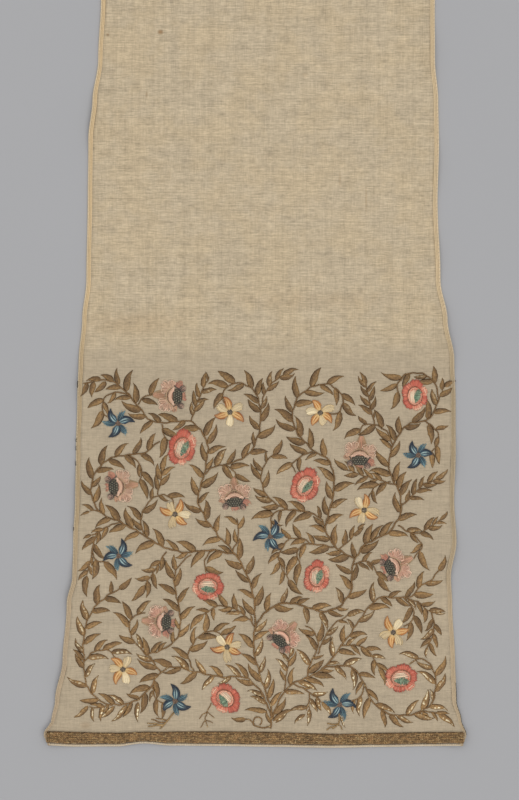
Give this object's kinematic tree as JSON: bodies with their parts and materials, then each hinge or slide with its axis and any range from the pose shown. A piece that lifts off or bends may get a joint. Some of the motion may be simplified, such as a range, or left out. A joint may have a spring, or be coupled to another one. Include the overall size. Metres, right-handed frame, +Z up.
{
  "type": "sash",
  "caption": "Long flat sash of fine cloth with silk edgings, a panel of flowering vines in silk and metal thread at one end, and a couched metal band across that end.",
  "frame": {"origin": "middle of the footprint of the flat-laid sash, on the surface it lies on", "axes": "+Y along the sash from the banded, embroidered end towards the plain end, +X across it to the right as the embroidery is read, +Z up out of the decorated face"},
  "size_m": [0.3035, 2, 0.0053],
  "materials": {
    "ground_cloth": "unbleached fine plain weave, matte",
    "side_silk": "yellowed silk edging, soft sheen",
    "cream_silk": "cream silk whipping, soft sheen",
    "metal_thread": "tarnished gilt thread, half-dull",
    "coral_silk": "coral and pink floss silk, satin sheen",
    "rose_silk": "faded rose floss silk, satin sheen",
    "gold_silk": "yellow and amber floss silk, satin sheen",
    "blue_silk": "navy and light blue floss silk, satin sheen"
  },
  "bodies": {
    "root": {"cloth": "ground_cloth", "edging_left": "side_silk", "edging_right": "side_silk", "end_band": "metal_thread", "end_edging": "cream_silk", "far_hem": "ground_cloth"}
  },
  "joints": []
}
